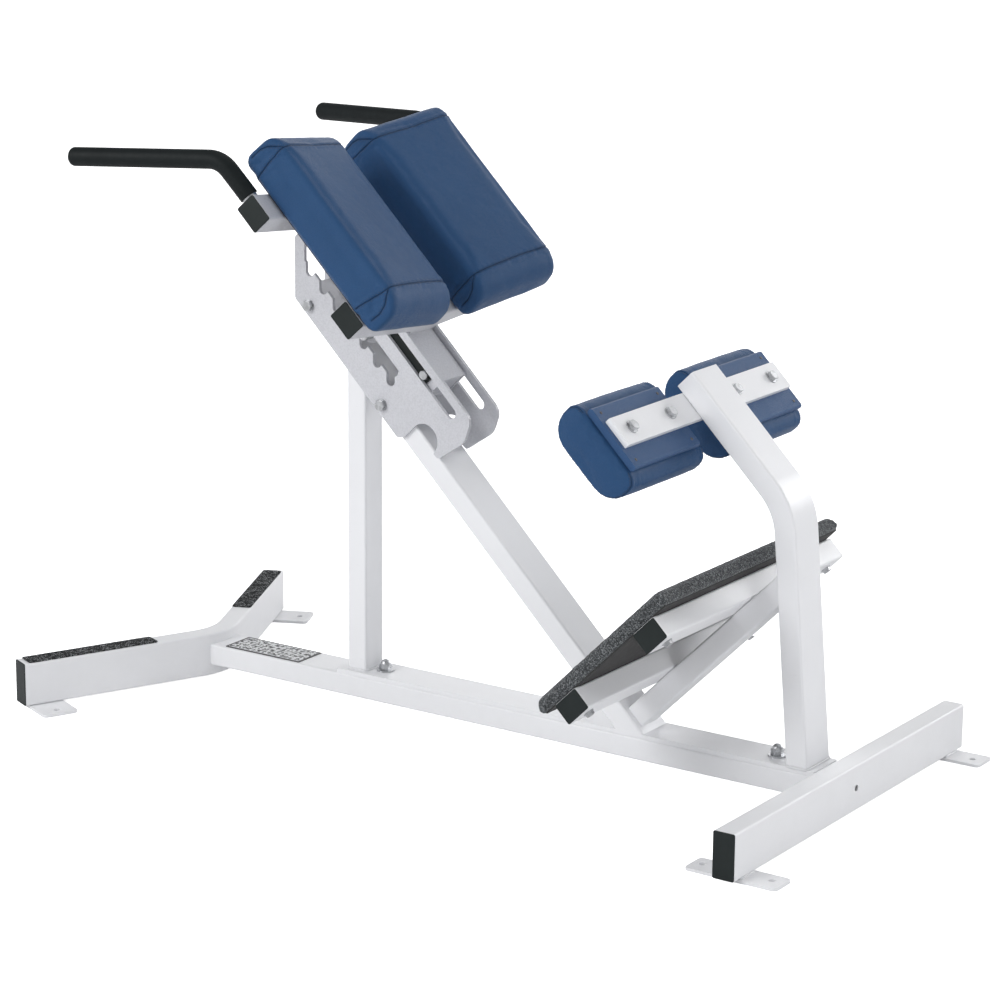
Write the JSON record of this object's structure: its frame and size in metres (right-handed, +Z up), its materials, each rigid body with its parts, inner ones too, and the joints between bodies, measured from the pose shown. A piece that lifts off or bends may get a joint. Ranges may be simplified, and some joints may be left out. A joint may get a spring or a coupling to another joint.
{
  "type": "roman chair",
  "caption": "45 degree back extension bench: swept floor frame, notch adjusted split thigh pads with handles, roller style leg pads and an angled foot platform.",
  "frame": {"origin": "centre of the footprint on the floor (bottom centre of the bounding box)", "axes": "+Z up; +X from the handles toward the standing platform and rear cross member; +Y toward the user's right when the user faces the handles"},
  "size_m": [1.5047, 0.7562, 1.0029],
  "materials": {
    "frame_powder_coat": "white powder coat, fine texture",
    "plate_powder_coat": "light grey white powder coat",
    "black_plastic": "moulded, satin",
    "grip_tape": "gritty non slip sheet",
    "grip_rubber": "matte black rubber",
    "wear_plastic": "smooth low friction plastic",
    "zinc_steel": "zinc plated",
    "dark_steel": "black oxide",
    "blue_vinyl": "upholstery vinyl, soft sheen",
    "board_vinyl": "upholstery vinyl stretched over board",
    "pad_board": "plywood with black backing cloth",
    "platform_board": "plywood",
    "platform_carpet": "looped carpet, mottled grey and black",
    "info_plate": "blank printed plate"
  },
  "bodies": {
    "frame": {"base_info_plate": "info_plate", "base_plate_dome_nuts": "zinc_steel", "base_plate_studs": "zinc_steel", "base_plate_washers": "zinc_steel", "base_rail": "frame_powder_coat", "diagonal_tube": "frame_powder_coat", "frame_base_plate": "frame_powder_coat", "front_foot_tabs": "frame_powder_coat", "front_grip_strips": "grip_tape", "front_post": "frame_powder_coat", "front_yoke_end_caps": "black_plastic", "front_yoke_tube": "frame_powder_coat", "leg_board_screws": "dark_steel", "leg_hold_bar": "frame_powder_coat", "leg_pad_board_left": "board_vinyl", "leg_pad_board_right": "board_vinyl", "leg_pad_bolts": "zinc_steel", "leg_pad_left": "blue_vinyl", "leg_pad_right": "blue_vinyl", "leg_pad_washers": "zinc_steel", "platform_board": "platform_board", "platform_bolts": "zinc_steel", "platform_carpet": "platform_carpet", "platform_lower_tube": "frame_powder_coat", "platform_strut": "frame_powder_coat", "platform_tube_end_caps": "black_plastic", "platform_upper_tube": "frame_powder_coat", "rear_cross_end_caps": "black_plastic", "rear_cross_member": "frame_powder_coat", "rear_foot_plates": "frame_powder_coat", "rear_post": "frame_powder_coat", "side_plate_bolts": "zinc_steel", "side_plate_left": "plate_powder_coat", "side_plate_nuts": "zinc_steel", "side_plate_right": "plate_powder_coat", "side_plate_washers": "zinc_steel"},
    "slide_pin": {"slide_pin": "zinc_steel"},
    "pad_carriage": {"carriage_tube": "plate_powder_coat", "slide_pin_sleeve": "zinc_steel", "carriage_end_plates": "plate_powder_coat", "carriage_wear_strips": "wear_plastic", "lock_pin_lug": "plate_powder_coat", "lock_pin": "zinc_steel", "upper_cross_tube": "plate_powder_coat", "lower_cross_tube": "plate_powder_coat", "cross_tube_end_caps": "black_plastic", "cross_tube_saddles": "plate_powder_coat", "thigh_pad_board_left": "pad_board", "thigh_pad_board_right": "pad_board", "thigh_pad_left": "blue_vinyl", "thigh_pad_right": "blue_vinyl", "thigh_pad_bolts": "zinc_steel", "handle_tube_left": "zinc_steel", "handle_tube_right": "zinc_steel", "handle_grip_left": "grip_rubber", "handle_grip_right": "grip_rubber"}
  },
  "joints": [
    {"name": "pad_slide", "type": "slide", "parent": "frame", "child": "slide_pin", "axis": [0.7071, 0, -0.7071], "range_m": [-0.1564, 0.0782]},
    {"name": "pad_lock", "type": "hinge", "parent": "slide_pin", "child": "pad_carriage", "pos_m": [-0.1098, 0, 0.60917], "axis": [0, 1, 0], "range_deg": [-2.8, 0]}
  ]
}
